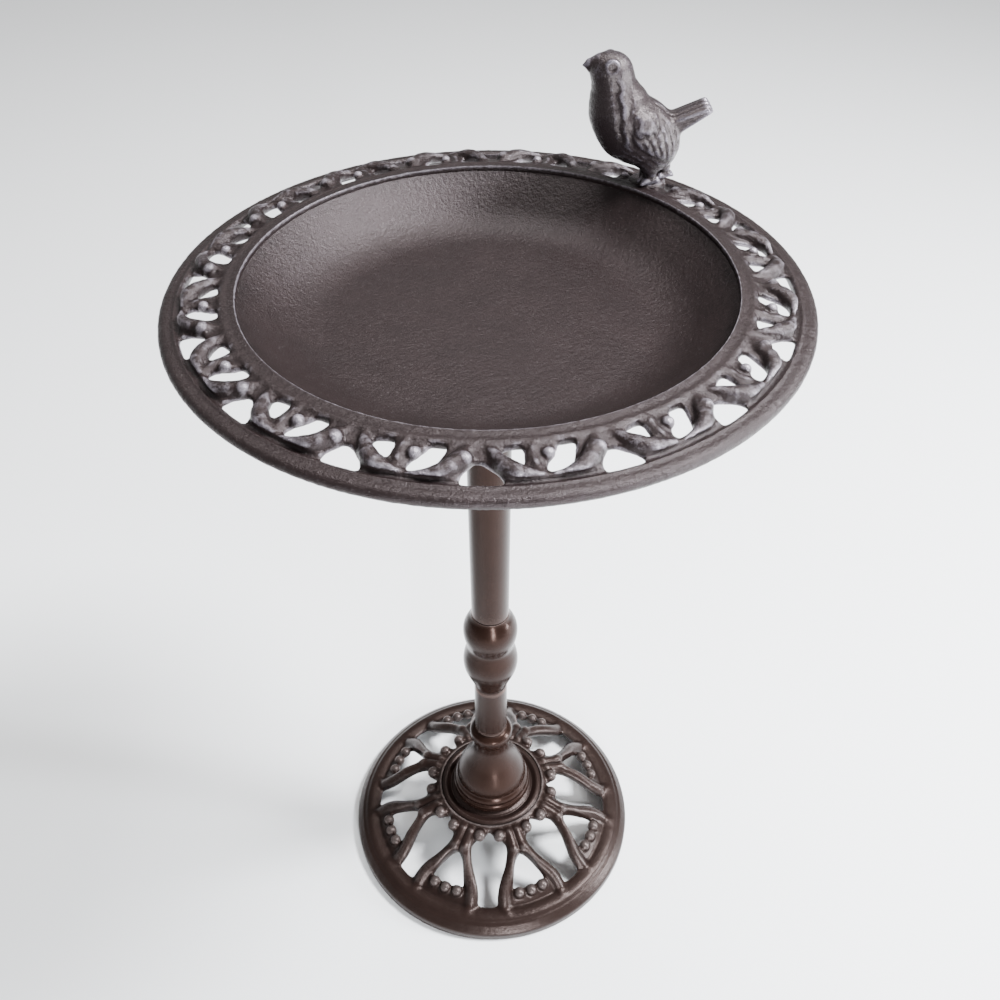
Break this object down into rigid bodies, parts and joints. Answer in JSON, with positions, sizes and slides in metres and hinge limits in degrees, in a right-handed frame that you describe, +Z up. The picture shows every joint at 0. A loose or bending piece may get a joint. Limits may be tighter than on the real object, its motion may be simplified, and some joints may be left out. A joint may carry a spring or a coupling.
{
  "type": "bird bath",
  "caption": "Cast-iron bird bath: a shallow round dish with an openwork rim and a perched bird, on a turned stem and a pierced domed base.",
  "frame": {"origin": "centre of the base's underside, on the floor", "axes": "+Z up along the stem; -Y is the front; the bird perches at the back right, towards +X +Y, facing -X"},
  "size_m": [0.27, 0.27, 0.4687],
  "materials": {
    "dish_iron": "dark brown, sand-cast, satin",
    "bird_iron": "dark brown, cast relief, satin",
    "stem_iron": "warm dark brown, smooth satin",
    "base_iron": "warm dark brown, sand-cast, satin",
    "zinc_steel": "zinc plated"
  },
  "bodies": {
    "root": {"dish": "dish_iron", "bird": "bird_iron", "upper_stem": "stem_iron", "knuckle_collar": "stem_iron", "lower_stem": "stem_iron", "stem_foot": "stem_iron", "base": "base_iron", "tie_rod": "zinc_steel", "base_washer": "zinc_steel", "base_nut": "zinc_steel", "bird_washer": "zinc_steel", "bird_screw": "zinc_steel"}
  },
  "joints": []
}
